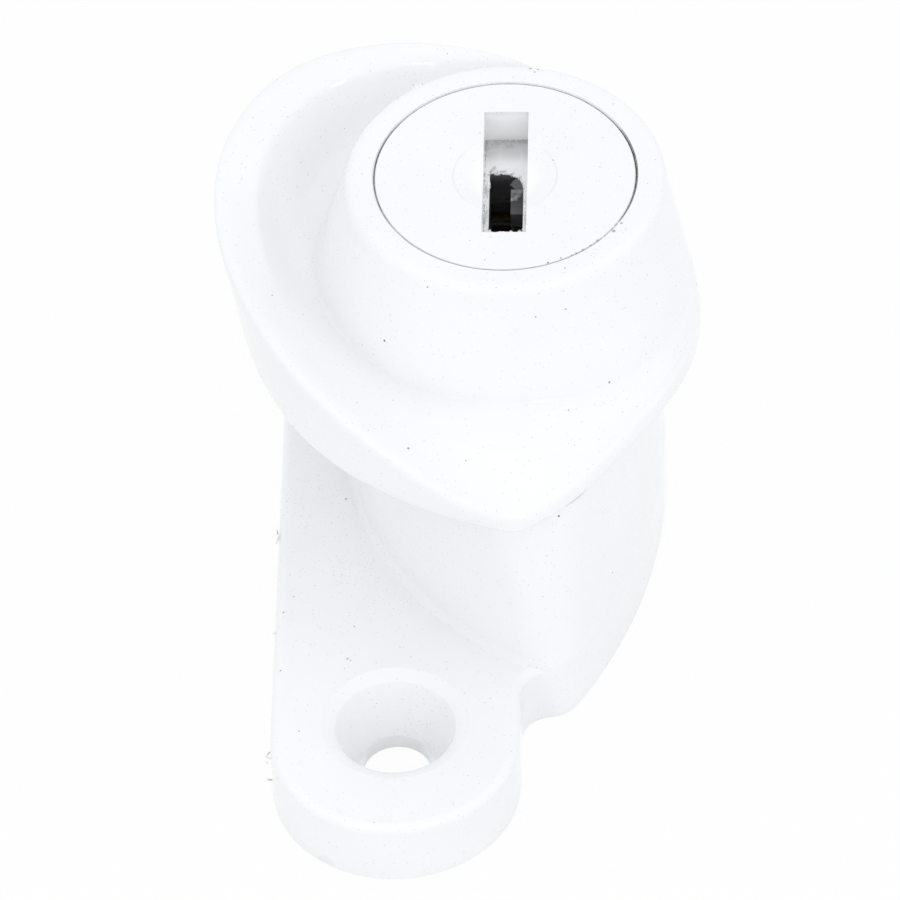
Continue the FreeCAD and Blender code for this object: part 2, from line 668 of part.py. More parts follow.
def key_plug():
    """Face, barrel, tail and square in one, with the wide mouth of the slot over the narrower keyway."""
    face = disc(FACE_RADIUS, barrel_top(), KNOB_TOP)
    rim = edges_near(face, lambda edge: edge.BoundBox.ZMin > KNOB_TOP - 0.01)
    face = face.makeFillet(FACE_EDGE, rim)
    body = face.fuse(disc(BARREL_RADIUS, BARREL_FLOOR, barrel_top() + 0.5))
    body = body.fuse(disc(TAIL_RADIUS, cam_floor() + CAM_THICKNESS + 0.1, BARREL_FLOOR + 0.5))
    half = TAIL_SQUARE / 2
    body = body.fuse(block(-half, half, -half, half, cam_floor(), BARREL_FLOOR))
    ball_radius = (DIMPLE_RADIUS ** 2 + DIMPLE_DEPTH ** 2) / (2 * DIMPLE_DEPTH)
    ball = Part.makeSphere(ball_radius, Vector(0, 0, KNOB_TOP + ball_radius - DIMPLE_DEPTH))
    body = body.cut(ball)
    body = body.cut(key_slot(MOUTH_WIDTH, MOUTH_HEIGHT, MOUTH_OFFSET, MOUTH_DEPTH))
    body = body.cut(key_slot(KEYWAY_WIDTH, KEYWAY_HEIGHT, KEYWAY_OFFSET, KEYWAY_DEPTH))
    for index in range(WAFER_COUNT):
        body = body.cut(wafer_slot(index))
    clip_low = clip_floor()
    groove = ring(TAIL_RADIUS + 1, clip_groove_radius(), clip_low - 0.03, clip_low + clip_thickness() + 0.03)
    return body.cut(groove)


def clip_thickness():
    return 0.5


def clip_groove_radius():
    return TAIL_RADIUS - 0.6


def clip_floor():
    return BARREL_FLOOR - PLAY - WEB_THICKNESS - clip_thickness() - 0.03


def plug_clip():
    """The small E-clip under the web that keeps the plug in the knob."""
    low, high = clip_floor(), clip_floor() + clip_thickness()
    body = ring(TAIL_RADIUS + 1.3, clip_groove_radius() + 0.03, low, high)
    mouth = block(-clip_groove_radius() * 0.85, clip_groove_radius() * 0.85, -TAIL_RADIUS * 2, 0, low - 1, high + 1)
    relief = []
    for angle in (35, 145):
        point = on_circle(0, TAIL_RADIUS + 0.1, angle)
        relief.append(disc(0.45, low - 1, high + 1, point.x, point.y))
    return body.cut(mouth).cut(relief[0]).cut(relief[1])


# Scroll cam and bolt

def cam_floor():
    return BOLT_FLOOR + BOLT_THICKNESS + 0.1


def scroll_point(turn, offset=0.0):
    """Where the bolt's pin stands in the cam's own frame, after the key has turned by this angle.

    The offset moves the point outwards, square to the scroll, for the two sides of the slot.
    """
    rate = BOLT_TRAVEL / math.radians(KEY_TURN)
    radius = SCROLL_START + rate * math.radians(turn)
    angle = -90 - turn
    along = on_circle(0, radius, angle - 90) + on_circle(0, rate, angle)
    square = Vector(-along.y, along.x, 0).normalize()
    return on_circle(0, radius, angle) + square * offset


def scroll_slot(height):
    """The slot along the scroll, with round ends, a little longer than the key's turn."""
    past, steps = 3.0, 12
    turns = [-past + (KEY_TURN + 2 * past) * k / steps for k in range(steps + 1)]
    half = BOLT_PIN_RADIUS + PLAY
    sides = []
    for offset in (half, -half):
        curve = Part.BSplineCurve()
        curve.interpolate([scroll_point(turn, offset) for turn in turns])
        sides.append(curve.toShape())
    outline = Part.Wire([
        sides[0],
        Part.makeLine(scroll_point(turns[-1], half), scroll_point(turns[-1], -half)),
        sides[1],
        Part.makeLine(scroll_point(turns[0], -half), scroll_point(turns[0], half)),
    ])
    body = Part.Face(outline).extrude(Vector(0, 0, height))
    ends = []
    for turn in (turns[0], turns[-1]):
        middle = scroll_point(turn)
        ends.append(disc(half, 0, height, middle.x, middle.y))
    return body.fuse(ends)


def scroll_cam():
    """A disc on the plug's square tail. Its scroll slot moves the bolt's pin out at a steady rate."""
    low, high = cam_floor(), cam_floor() + CAM_THICKNESS
    body = disc(CAM_RADIUS, low, high)
    half = TAIL_SQUARE / 2 + 0.02
    body = body.cut(block(-half, half, -half, half, low - 1, high + 1))
    slot = scroll_slot(CAM_THICKNESS + 2)
    slot.translate(Vector(0, 0, low - 1))
    return body.cut(slot)


def lock_bolt():
    """A flat bar across the end of the stem. Its round nose enters a notch in the base."""
    low, high = BOLT_FLOOR, BOLT_FLOOR + BOLT_THICKNESS
    half = BOLT_WIDTH / 2
    nose = STEM_RADIUS - 0.1
    tail = STEM_RADIUS - 0.6
    bar = block(-half, half, -STEM_RADIUS, tail, low, high)
    bar = bar.common(disc(nose, low, high))
    pin = disc(BOLT_PIN_RADIUS, high - 0.1, cam_floor() + CAM_THICKNESS - 0.2, 0, -SCROLL_START)
    return bar.fuse(pin)


def build():
    os.makedirs("parts", exist_ok=True)
    named(base_casting(), "base_casting")
    named(stop_pin(), "stop_pin")
    named(knob_casting(), "knob_casting")
    named(retaining_ring(), "retaining_ring")
    named(flat_washer(), "flat_washer")
    named(wave_washer(), "wave_washer")
    named(key_plug(), "key_plug")
    named(plug_clip(), "plug_clip")
    named(scroll_cam(), "scroll_cam")
    named(lock_bolt(), "lock_bolt")
    for index in range(WAFER_COUNT):
        named(wafer(index), "wafer_" + str(index + 1))
        named(wafer_spring(index), "wafer_spring_" + str(index + 1))


build()
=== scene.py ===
"""Dresses the sliding window lock.

White paint with its specks and chips, painted light and shade in the slot, in the gap and by the
loose flakes, bare metal inside, and a plain studio.
"""

import logging
import math
from dataclasses import dataclass
from enum import Enum
from typing import Union

import bpy
from mathutils import Matrix, Vector


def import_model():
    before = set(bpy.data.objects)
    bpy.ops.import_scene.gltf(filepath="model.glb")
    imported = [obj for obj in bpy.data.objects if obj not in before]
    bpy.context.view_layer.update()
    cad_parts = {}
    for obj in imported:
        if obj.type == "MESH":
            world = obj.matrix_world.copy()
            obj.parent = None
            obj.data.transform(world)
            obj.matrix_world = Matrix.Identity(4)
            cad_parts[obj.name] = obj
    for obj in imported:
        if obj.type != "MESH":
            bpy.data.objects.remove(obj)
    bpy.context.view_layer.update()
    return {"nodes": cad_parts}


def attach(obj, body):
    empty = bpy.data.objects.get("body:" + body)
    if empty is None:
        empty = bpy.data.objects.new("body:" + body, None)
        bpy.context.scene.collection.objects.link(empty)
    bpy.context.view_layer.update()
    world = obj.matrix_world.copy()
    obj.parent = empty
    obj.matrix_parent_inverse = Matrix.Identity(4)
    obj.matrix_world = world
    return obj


LOG = logging.getLogger("window_lock")

MM = 0.001

# Places on the frame, in metres: the turning axis, the plug's face, the outer radius of the gap
# round the plug and the ledge in its slot
AXIS_X = 6.65 * MM
FACE_Z = 26.4 * MM
GAP_OUTER = 7.785 * MM
LEDGE_Z = 24.0 * MM

ORIGIN = (0.0, 0.0, 0.0)
WHITE = (1.0, 1.0, 1.0)
PAINT_IOR = 1.5
NOISE_MIDDLE = 0.5

Socket = bpy.types.NodeSocket
Feed = Union[float, tuple[float, ...], bpy.types.NodeSocket]
Place = tuple[float, float, float]
Tint = tuple[float, float, float]


@dataclass(frozen=True)
class Noise:
    """A noise: waves for each metre, octaves and the share of the finer ones."""

    waves: float
    octaves: float = 3.0
    roughness: float = 0.5


@dataclass(frozen=True)
class Ramp:
    """A soft step: where it gives 0 and where it gives 1, in rising or falling order."""

    zero: float
    one: float


def colour(tint: Tint) -> tuple[float, float, float, float]:
    """A colour for a socket.

    Args:
        tint: Red, green and blue.

    Returns:
        The tint with full cover.
    """
    return (*tint, 1.0)


class NodeSketch:
    """A short hand for wiring one material's nodes."""

    def __init__(self, name: str) -> None:
        """Starts a material with its shader.

        Args:
            name: The material's name.
        """
        self.material = bpy.data.materials.new(name)
        self.material.use_nodes = True
        self.tree = self.material.node_tree
        self.shader = self.tree.nodes["Principled BSDF"]
        self.place = self.tree.nodes.new("ShaderNodeTexCoord").outputs["Object"]

    def link(self, source: Socket, target: Socket) -> None:
        """Joins an output to an input.

        Args:
            source: The output.
            target: The input.
        """
        self.tree.links.new(source, target)

    def put(self, value: Feed, socket: Socket) -> None:
        """Sets a socket from a number, or joins an output to it.

        Args:
            value: A number, a tuple or an output socket.
            socket: The input to fill.
        """
        if isinstance(value, bpy.types.NodeSocket):
            self.link(value, socket)
        else:
            socket.default_value = value

    def surface(self, tone: Feed, roughness: Feed, metallic: float = 0.0) -> None:
        """Sets the look of the shader.

        Args:
            tone: The colour or its output.
            roughness: The roughness or its output.
            metallic: How much of the surface is bare metal.
        """
        self.put(tone, self.shader.inputs["Base Color"])
        self.put(roughness, self.shader.inputs["Roughness"])
        self.put(metallic, self.shader.inputs["Metallic"])

    def math(self, operation: str, first: Feed, second: Feed = 0.0, third: Feed = 0.0) -> Socket:
        """One Math node.

        Args:
            operation: The node's operation.
            first: The first number or output.
            second: The second one.
            third: The third one.

        Returns:
            The result's socket.
        """
        node = self.tree.nodes.new("ShaderNodeMath")
        node.operation = operation
        for value, socket in zip((first, second, third), node.inputs):
            self.put(value, socket)
        return node.outputs[0]

    def apart(self, place: Place) -> Socket:
        """The distance to a place.

        Args:
            place: The place on the frame, in millimetres.

        Returns:
            The distance's socket, in metres.
        """
        node = self.tree.nodes.new("ShaderNodeVectorMath")
        node.operation = "DISTANCE"
        self.link(self.place, node.inputs[0])
        node.inputs[1].default_value = tuple(value * MM for value in place)
        return node.outputs["Value"]

    def noise(self, noise: Noise) -> Socket:
        """A noise on the object's own coordinates.

        Args:
            noise: Its waves, octaves and roughness.

        Returns:
            The noise's value, about 0 to 1.
        """
        node = self.tree.nodes.new("ShaderNodeTexNoise")
        node.inputs["Scale"].default_value = noise.waves
        node.inputs["Detail"].default_value = noise.octaves
        node.inputs["Roughness"].default_value = noise.roughness
        self.link(self.place, node.inputs["Vector"])
        return node.outputs["Fac"]

    def wander(self, noise: Noise) -> Socket:
        """A noise about zero, to make an edge ragged.

        Args:
            noise: Its waves, octaves and roughness.

        Returns:
            The noise's value, about -0.5 to 0.5.
        """
        return self.math("SUBTRACT", self.noise(noise), NOISE_MIDDLE)

    def cells(self, scale: float) -> tuple[Socket, Socket]:
        """Cells with one point each, for specks.

        Args:
            scale: Cells for each metre.

        Returns:
            The distance to the nearest point, in cells, and that cell's random number.
        """
        node = self.tree.nodes.new("ShaderNodeTexVoronoi")
        node.inputs["Scale"].default_value = scale
        self.link(self.place, node.inputs["Vector"])
        split = self.tree.nodes.new("ShaderNodeSeparateColor")
        self.link(node.outputs["Color"], split.inputs[0])
        return node.outputs["Distance"], split.outputs[0]

    def step(self, value: Feed, ramp: Ramp, unit: float = 1.0) -> Socket:
        """A soft step over a ramp.

        Args:
            value: The number or output to test.
            ramp: Where the step gives 0 and where it gives 1.
            unit: The ramp's unit, in metres where the value is a length.

        Returns:
            The step's socket.
        """
        node = self.tree.nodes.new("ShaderNodeMapRange")
        node.interpolation_type = "SMOOTHSTEP"
        self.put(value, node.inputs["Value"])
        rising = ramp.zero < ramp.one
        low, high = (ramp.zero, ramp.one) if rising else (ramp.one, ramp.zero)
        node.inputs["From Min"].default_value = low * unit
        node.inputs["From Max"].default_value = high * unit
        node.inputs["To Min"].default_value = 0.0 if rising else 1.0
        node.inputs["To Max"].default_value = 1.0 if rising else 0.0
        return node.outputs["Result"]

    def blend(self, share: Feed, under: Feed, over: Feed) -> Socket:
        """Mixes two colours.

        Args:
            share: How much of the second colour shows.
            under: The first colour or output.
            over: The second one.

        Returns:
            The mixed colour's socket.
        """
        node = self.tree.nodes.new("ShaderNodeMix")
        node.data_type = "RGBA"
        self.put(share, node.inputs[0])
        self.put(under, node.inputs[6])
        self.put(over, node.inputs[7])
        return node.outputs[2]

    def axes(self) -> tuple[Socket, Socket, Socket]:
        """The object's own coordinates.

        Returns:
            The sockets of X, Y and Z.
        """
        node = self.tree.nodes.new("ShaderNodeSeparateXYZ")
        self.link(self.place, node.inputs[0])
        return node.outputs[0], node.outputs[1], node.outputs[2]

    def bump(self, height: Socket, depth: float) -> None:
        """Feeds a height in 0 to 1 into the shader's normal.

        Args:
            height: The height's socket.
            depth: The real depth of the relief, in millimetres.
        """
        node = self.tree.nodes.new("ShaderNodeBump")
        node.inputs["Strength"].default_value = 1.0
        node.inputs["Distance"].default_value = depth * MM
        self.link(height, node.inputs["Height"])
        self.link(node.outputs["Normal"], self.shader.inputs["Normal"])


@dataclass(frozen=True)
class Fleck:
    """A round place in millimetres, for a chip, for dirt, for a painted shadow or for a crowd of
    specks.
    """

    x: float
    y: float
    z: float
    radius: float
    depth: float = 1.0

    @property
    def place(self) -> Place:
        """Its centre on the frame, in millimetres."""
        return self.x, self.y, self.z


@dataclass(frozen=True)
class SpeckLayer:
    """One size of speck: cells for each metre, radius in cells, share of cells and darkness."""

    cells: float
    radius: float
    share: float
    darkness: float


# The first layer has a share of nothing, so it shows only where specks crowd
SPECK_LAYERS = (
    SpeckLayer(4500.0, 0.17, 0.0, 0.34),
    SpeckLayer(3000.0, 0.15, 0.8, 0.22),
    SpeckLayer(1500.0, 0.07, 0.5, 0.5),
    SpeckLayer(700.0, 0.05, 0.25, 0.75),
)


@dataclass(frozen=True)
class GlossPaint:
    """White gloss paint on a casting, with fine specks of dirt, small chips and painted shadows.

    A core is the inner share of a mark's radius, where the mark shows in full.
    """

    name: str
    tint: Tint = (0.913, 0.922, 0.936)
    # The colour of dirt, chips and painted shade
    grime_and_shade: Tint = (0.13, 0.13, 0.14)
    roughness: float = 0.13
    flecks: tuple[Fleck, ...] = ()
    crowds: tuple[Fleck, ...] = ()
    speck_core: float = 0.5
    crowd_core: float = 0.2
    fleck_core: float = 0.86
    fleck_edge: float = 1.5
    fleck_wander: float = 1.1
    fleck_noise: Noise = Noise(3200.0)
    cloud: Noise = Noise(90.0, 2.0)
    cloud_ramp: Ramp = Ramp(0.3, 0.7)
    cloud_shade: float = 0.975
    peel: Noise = Noise(700.0, 2.0)
    peel_depth: float = 0.012
    mark_depth: float = 0.6

    def speck_mask(self, sketch: NodeSketch) -> Socket:
        """Specks of each layer, more of them where they crowd.

        Args:
            sketch: The material's nodes.

        Returns:
            Where specks show, 0 to 1.
        """
        crowd = self.crowd_mask(sketch)
        total: Feed = 0.0
        for layer in SPECK_LAYERS:
            distance, chance = sketch.cells(layer.cells)
            near = sketch.step(distance, Ramp(layer.radius, layer.radius * self.speck_core))
            share = sketch.math("MULTIPLY_ADD", crowd, 1.0 - layer.share, layer.share)
            chosen = sketch.math("LESS_THAN", chance, share)
            chosen = sketch.math("MULTIPLY", chosen, layer.darkness)
            total = sketch.math("MAXIMUM", sketch.math("MULTIPLY", near, chosen), total)
        return total

    def crowd_mask(self, sketch: NodeSketch) -> Feed:
        """How much the specks crowd together, falling off round each listed place.

        Args:
            sketch: The material's nodes.

        Returns:
            The crowding, 0 to 1, or 0 with no places.
        """
        total: Feed = 0.0
        for crowd in self.crowds:
            fall = Ramp(crowd.radius, crowd.radius * self.crowd_core)
            near = sketch.step(sketch.apart(crowd.place), fall, MM)
            total = sketch.math("MAXIMUM", sketch.math("MULTIPLY", near, crowd.depth), total)
        return total

    def fleck_mask(self, sketch: NodeSketch) -> Feed:
        """The listed chips and painted shadows, with ragged edges.

        Args:
            sketch: The material's nodes.

        Returns:
            Where a chip or painted shadow shows, 0 to 1, or 0 with none listed.
        """
        total: Feed = 0.0
        ragged = sketch.noise(self.fleck_noise)
        for fleck in self.flecks:
            reach = fleck.radius * self.fleck_wander * MM
            rough = sketch.math("MULTIPLY_ADD", ragged, reach, sketch.apart(fleck.place))
            edge = fleck.radius * self.fleck_edge
            spot = sketch.step(rough, Ramp(edge, edge * self.fleck_core), MM)
            total = sketch.math("MAXIMUM", sketch.math("MULTIPLY", spot, fleck.depth), total)
        return total

    def coat(self, sketch: NodeSketch) -> tuple[Socket, Socket]:
        """The paint's colour and where it is marked.

        Args:
            sketch: The material's nodes.

        Returns:
            The colour and the mask of the marks.
        """
        marks = sketch.math("MAXIMUM", self.speck_mask(sketch), self.fleck_mask(sketch))
        cloudy = sketch.step(sketch.noise(self.cloud), self.cloud_ramp)
        red, green, blue = (value * self.cloud_shade for value in self.tint)
        pale = sketch.blend(cloudy, colour(self.tint), colour((red, green, blue)))
        return sketch.blend(marks, pale, colour(self.grime_and_shade)), marks

    def relief(self, sketch: NodeSketch, marks: Socket) -> None:
        """The orange peel of sprayed gloss, with the marks a little sunk.

        Args:
            sketch: The material's nodes.
            marks: Where the paint is marked.
        """
        sunk = sketch.math("MULTIPLY", marks, self.mark_depth)
        sketch.bump(sketch.math("SUBTRACT", sketch.noise(self.peel), sunk), self.peel_depth)

    def make(self) -> bpy.types.Material:
        """Builds the material.

        Returns:
            The material.
        """
        sketch = NodeSketch(self.name)
        tone, marks = self.coat(sketch)
        sketch.surface(tone, self.roughness)
        sketch.shader.inputs["IOR"].default_value = PAINT_IOR
        self.relief(sketch, marks)
        return sketch.material


@dataclass(frozen=True)
class PlugFinish(GlossPaint):
    """The plug's paint, which stops at the ledge in the slot, over bare metal with painted shade
    below it. Paint lower than the face is lighter, as painted light, and a pale patch of
    painted light lies deep in the keyway.

    The depths are millimetres under the plug's face.
    """

    # Painted light: paint lower than the face, on the walls of the slot and the gap, is made
    # lighter
    slot_light: Tint = (0.975, 0.975, 0.98)
    slot_light_depth: Ramp = Ramp(0.15, 0.4)
    metal: Tint = (0.2, 0.2, 0.21)
    metal_depth: Ramp = Ramp(2.45, 2.55)
    metal_roughness: float = 0.3
    # Painted shade: the metal deep in the keyway is made nearly black
    deep_shade: Tint = (0.07, 0.07, 0.072)
    deep_shade_depth: Ramp = Ramp(2.55, 3.3)
    tear: Noise = Noise(1500.0, 4.0, 0.65)
    tear_wander: float = 0.3
    # Painted light: a pale ragged patch on the keyway's far wall, deep under the face
    lit_patch: Fleck = Fleck(7.35, 2.65, 23.0, 0.5, 0.55)
    lit_patch_core: float = 0.85
    lit_patch_wander: float = 0.5
    # Painted shade along the dimple's edge, at its left and right
    dimple_radius: float = 3.05
    dimple_line: float = 0.09
    dimple_side: Ramp = Ramp(1.8, 2.8)
    dimple_depth: Ramp = Ramp(0.5, 0.2)
    dimple_shade_noise: Noise = Noise(900.0, 2.0)
    dimple_strength: float = 0.22

    def dimple_shade_mask(self, sketch: NodeSketch, depth: Socket) -> Socket:
        """A faint line of painted shade along the dimple's edge, at its two sides.

        Args:
            sketch: The material's nodes.
            depth: How far a point lies under the face, in metres.

        Returns:
            Where the line shows, 0 to a small share.
        """
        across, along, _ = sketch.axes()
        side = sketch.math("SUBTRACT", across, AXIS_X)
        square = sketch.math("MULTIPLY_ADD", side, side, sketch.math("MULTIPLY", along, along))
        reach = sketch.math("POWER", square, 0.5)
        off_edge = sketch.math("SUBTRACT", reach, self.dimple_radius * MM)
        line = sketch.step(sketch.math("ABSOLUTE", off_edge), Ramp(self.dimple_line, 0.0), MM)
        beside = sketch.step(sketch.math("ABSOLUTE", side), self.dimple_side, MM)
        on_face = sketch.step(depth, self.dimple_depth, MM)
        faint = sketch.math("MULTIPLY", sketch.noise(self.dimple_shade_noise), self.dimple_strength)
        shown = sketch.math("MULTIPLY", line, beside)
        return sketch.math("MULTIPLY", shown, sketch.math("MULTIPLY", on_face, faint))

    def make(self) -> bpy.types.Material:
        """Builds the material.

        Returns:
            The material.
        """
        sketch = NodeSketch(self.name)
        _, _, height = sketch.axes()
        depth = sketch.math("SUBTRACT", FACE_Z, height)
        tone, marks = self.coat(sketch)
        # Painted shade along the dimple's edge
        tone = sketch.blend(self.dimple_shade_mask(sketch, depth), tone, colour(self.grime_and_shade))
        # Painted light on the paint lower than the face
        inside = sketch.step(depth, self.slot_light_depth, MM)
        tone = sketch.blend(inside, tone, colour(self.slot_light))

        ragged = sketch.wander(self.tear)
        torn = sketch.math("MULTIPLY_ADD", ragged, self.tear_wander * MM, depth)
        bare = sketch.step(torn, self.metal_depth, MM)
        # Painted shade deeper down the keyway
        deep_shade_share = sketch.step(torn, self.deep_shade_depth, MM)
        under = sketch.blend(deep_shade_share, colour(self.metal), colour(self.deep_shade))

        # A patch of painted light on the keyway's far wall
        away = sketch.apart(self.lit_patch.place)
        reach = sketch.math("MULTIPLY_ADD", ragged, self.lit_patch_wander * MM, away)
        fall = Ramp(self.lit_patch.radius, self.lit_patch.radius * self.lit_patch_core)
        shown = sketch.math("MULTIPLY", sketch.step(reach, fall, MM), self.lit_patch.depth)
        under = sketch.blend(shown, under, colour(self.tint))

        rough = sketch.math("MULTIPLY_ADD", bare, self.metal_roughness, self.roughness)
        sketch.surface(sketch.blend(bare, tone, under), rough)
        sketch.shader.inputs["IOR"].default_value = PAINT_IOR
        self.relief(sketch, marks)
        return sketch.material


@dataclass(frozen=True)
class Overspray:
    """Thin dry paint on the ledge in the slot.

    A mottled line runs along the far wall, then comes a grey that clears towards the tear.
    """

    name: str
    paint: Tint = (0.95, 0.95, 0.955)
    thin: Tint = (0.6, 0.6, 0.61)
    metal: Tint = (0.3, 0.3, 0.31)
    grey_y: Ramp = Ramp(3.0, 4.3)
    grey_share: float = 0.9
    line_y: Ramp = Ramp(4.3, 4.9)
    line_gain: float = 0.55
    line_base: float = 0.12
    edge: Noise = Noise(1100.0)
    edge_wander: float = 0.9
    mottle: Noise = Noise(3100.0, 5.0, 0.75)
    mottle_ramp: Ramp = Ramp(0.4, 0.62)
    roughness: float = 0.5
    grain: Noise = Noise(3600.0)
    grain_depth: float = 0.02

    def make(self) -> bpy.types.Material:
        """Builds the material.

        Returns:
            The material.
        """
        sketch = NodeSketch(self.name)
        _, along, _ = sketch.axes()
        wander = sketch.wander(self.edge)
        place = sketch.math("MULTIPLY_ADD", wander, self.edge_wander * MM, along)
        grey = sketch.math("MULTIPLY", sketch.step(place, self.grey_y, MM), self.grey_share)
        dusty = sketch.blend(grey, colour(self.paint), colour(self.thin))
        mottle = sketch.step(sketch.noise(self.mottle), self.mottle_ramp)
        patchy = sketch.math("MULTIPLY_ADD", mottle, self.line_gain, self.line_base)
        line = sketch.math("MULTIPLY", sketch.step(place, self.line_y, MM), patchy)
        sketch.surface(sketch.blend(line, dusty, colour(self.metal)), self.roughness)
        sketch.bump(sketch.noise(self.grain), self.grain_depth)
        return sketch.material


@dataclass(frozen=True)
class LooseBits:
    """Torn or dusty bits of paint, mottled from white to grey."""

    name: str
    pale: Tint = (0.88, 0.885, 0.9)
    dusty: Tint = (0.3, 0.295, 0.3)
    mottle: Noise = Noise(2200.0, 3.0, 0.6)
    mottle_ramp: Ramp = Ramp(0.42, 0.6)
    roughness: float = 0.6

    def make(self) -> bpy.types.Material:
        """Builds the material.

        Returns:
            The material.
        """
        sketch = NodeSketch(self.name)
        share = sketch.step(sketch.noise(self.mottle), self.mottle_ramp)
        tone = sketch.blend(share, colour(self.pale), colour(self.dusty))
        sketch.surface(tone, self.roughness)
        return sketch.material


@dataclass(frozen=True)
class GapShade:
    """Painted shade in the gap round the plug, darkest at its left and right and along its front.

    The painted shade is a thin line round the plug, and covers the whole width of the gap at the
    right.
    """

    name: str = "gap_painted_shade"
    pale: Tint = (0.8, 0.8, 0.8)
    # The colour of the painted shade in the gap
    shade_tint: Tint = (0.03, 0.027, 0.023)
    height: float = 26.35
    line: Ramp = Ramp(7.75, 7.71)
    wide: Ramp = Ramp(6.2, 7.2)
    side: Ramp = Ramp(5.6, 7.6)
    side_share: float = 0.6
    front: Ramp = Ramp(-2.5, -7.2)
    front_share: float = 0.42
    # A noise that breaks up the painted shade
    shade_noise: Noise = Noise(1400.0, 3.0, 0.6)
    shade_noise_gain: float = 0.5
    shade_noise_base: float = -0.1
    roughness: float = 0.6

    def make(self) -> bpy.types.Material:
        """Builds the material.

        Returns:
            The material.
        """
        sketch = NodeSketch(self.name)
        across, along, _ = sketch.axes()
        offset = sketch.math("SUBTRACT", across, AXIS_X)
        beside = sketch.step(sketch.math("ABSOLUTE", offset), self.side, MM)
        beside = sketch.math("MULTIPLY", beside, self.side_share)
        ahead = sketch.math("MULTIPLY", sketch.step(along, self.front, MM), self.front_share)
        shade_noise = sketch.noise(self.shade_noise)
        shade_noise = sketch.math("MULTIPLY_ADD", shade_noise, self.shade_noise_gain, self.shade_noise_base)
        share = sketch.math("ADD", sketch.math("MAXIMUM", beside, ahead), shade_noise)
        reach = sketch.apart((AXIS_X / MM, 0.0, self.height))
        thin = sketch.step(reach, self.line, MM)
        wide = sketch.step(offset, self.wide, MM)
        share = sketch.math("MULTIPLY", share, sketch.math("MAXIMUM", thin, wide))
        # Pale paint, darkened where the gap's shade is painted
        sketch.surface(sketch.blend(share, colour(self.pale), colour(self.shade_tint)), self.roughness)
        return sketch.material


@dataclass(frozen=True)
class WornMetal:
    """Bare metal, a little duller where it is stained."""

    name: str
    light: Tint
    dull: Tint
    stain: Noise
    stain_ramp: Ramp
    roughness: float
    stain_roughness: float
    grain: Noise
    grain_depth: float = 0.004

    def make(self) -> bpy.types.Material:
        """Builds the material.

        Returns:
            The material.
        """
        sketch = NodeSketch(self.name)
        stain = sketch.step(sketch.noise(self.stain), self.stain_ramp)
        tone = sketch.blend(stain, colour(self.light), colour(self.dull))
        rough = sketch.math("MULTIPLY_ADD", stain, self.stain_roughness, self.roughness)
        sketch.surface(tone, rough, metallic=1.0)
        sketch.bump(sketch.noise(self.grain), self.grain_depth)
        return sketch.material


class Metal(Enum):
    """The kinds of bare metal inside the lock."""

    ZINC_PLATE = WornMetal(
        "steel_zinc_plated", (0.56, 0.57, 0.58), (0.45, 0.46, 0.48), Noise(600.0, 4.0),
        Ramp(0.35, 0.7), 0.32, 0.12, Noise(2400.0, 2.0),
    )
    SPRING_STEEL = WornMetal(
        "steel_spring", (0.36, 0.36, 0.37), (0.27, 0.27, 0.28), Noise(600.0, 4.0),
        Ramp(0.35, 0.7), 0.38, 0.12, Noise(2400.0, 2.0),
    )
    BRASS = WornMetal(
        "pressed_brass", (0.66, 0.52, 0.27), (0.42, 0.33, 0.18), Noise(900.0, 4.0),
        Ramp(0.3, 0.75), 0.34, 0.15, Noise(2000.0, 2.0),
    )


@dataclass(frozen=True)
class ShadedMetal:
    """The metal of the tumbler that shows in the slot: a patch of painted light on its nib,
    mottled, and painted shade elsewhere.

    The lit patch lies between two heights along Y that slope with the distance from the nib's
    edge.
    """

    name: str = "tumbler_lit_and_shaded"
    nib_x: float = 6.85
    nib_edge: Ramp = Ramp(-0.04, 0.02)
    lit_patch_low: Ramp = Ramp(1.65, 1.85)
    lit_patch_high: Ramp = Ramp(2.85, 2.65)
    lit_patch_slope: float = -0.7
    edge: Noise = Noise(2400.0)
    edge_wander: float = 1.1
    # Painted shade on the tumbler's body and its nib
    body_shade: Tint = (0.12, 0.12, 0.12)
    nib_shade: Tint = (0.17, 0.17, 0.18)
    # The painted light of the patch, mottled between dull and bright
    dull: Tint = (0.35, 0.35, 0.36)
    bright: Tint = (0.94, 0.94, 0.96)
    lit_mottle: Noise = Noise(2800.0, 4.0, 0.65)
    lit_mottle_ramp: Ramp = Ramp(0.34, 0.6)
    roughness: float = 0.45

    def make(self) -> bpy.types.Material:
        """Builds the material.

        Returns:
            The material.
        """
        sketch = NodeSketch(self.name)
        across, along, _ = sketch.axes()
        inward = sketch.math("SUBTRACT", across, self.nib_x * MM)
        wander = sketch.wander(self.edge)
        place = sketch.math("MULTIPLY_ADD", wander, self.edge_wander * MM, along)
        place = sketch.math("MULTIPLY_ADD", inward, self.lit_patch_slope, place)
        above = sketch.step(place, self.lit_patch_low, MM)
        below = sketch.step(place, self.lit_patch_high, MM)
        nib = sketch.step(inward, self.nib_edge, MM)
        # Where the painted light falls on the nib
        lit_patch = sketch.math("MULTIPLY", sketch.math("MULTIPLY", above, below), nib)
        under = sketch.blend(nib, colour(self.body_shade), colour(self.nib_shade))
        lit_mottled = sketch.step(sketch.noise(self.lit_mottle), self.lit_mottle_ramp)
        metal = sketch.blend(lit_mottled, colour(self.dull), colour(self.bright))
        sketch.surface(sketch.blend(lit_patch, under, metal), self.roughness)
        return sketch.material


def paint_over(node: bpy.types.Object, finish: bpy.types.Material) -> None:
    """Puts a finish into every slot of a node.

    Args:
        node: The node's object.
        finish: The material.
    """
    slots = node.data.materials
    if not slots:
        slots.append(finish)
    for index in range(len(slots)):
        slots[index] = finish


